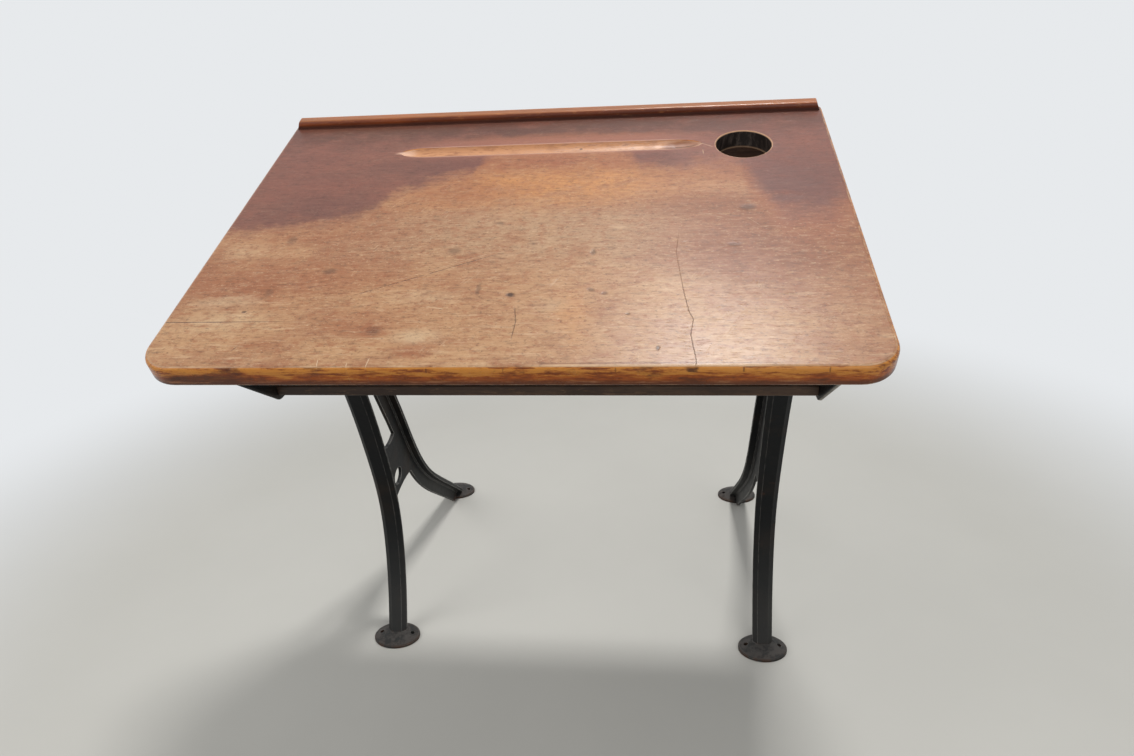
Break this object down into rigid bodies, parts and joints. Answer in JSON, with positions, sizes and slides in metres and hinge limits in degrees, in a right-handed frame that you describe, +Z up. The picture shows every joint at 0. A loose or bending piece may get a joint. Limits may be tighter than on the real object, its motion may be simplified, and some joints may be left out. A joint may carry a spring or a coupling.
{
  "type": "school desk",
  "caption": "School desk with a fixed sloping wooden top, pencil groove, inkwell hole, rear rail and open book box on two cast iron standards.",
  "frame": {"origin": "centre of the desk's footprint box, on the floor", "axes": "+Z up from the floor; +Y from the pupil's side to the back; +X to the pupil's right, towards the inkwell hole"},
  "size_m": [0.622, 0.8068, 0.7639],
  "materials": {
    "top_varnished_wood": "worn gloss varnish",
    "rail_dark_wood": "worn dark varnish",
    "shelf_wood": "aged varnish",
    "back_board_wood": "aged varnish",
    "painted_cast_iron": "worn black paint",
    "fastener_steel": "aged"
  },
  "bodies": {
    "root": {"top_plank_front": "top_varnished_wood", "top_plank_middle": "top_varnished_wood", "top_plank_rear": "top_varnished_wood", "rear_rail": "rail_dark_wood", "shelf_board_front": "shelf_wood", "shelf_board_rear": "shelf_wood", "back_board_upper": "back_board_wood", "back_board_middle": "back_board_wood", "back_board_lower": "back_board_wood", "left_standard": "painted_cast_iron", "right_standard": "painted_cast_iron", "top_screws_left": "fastener_steel", "top_screws_right": "fastener_steel", "shelf_screws_left": "fastener_steel", "shelf_screws_right": "fastener_steel", "back_bolts_left": "fastener_steel", "back_bolts_right": "fastener_steel", "back_nuts_left": "fastener_steel", "back_nuts_right": "fastener_steel", "rail_screws": "fastener_steel"}
  },
  "joints": []
}
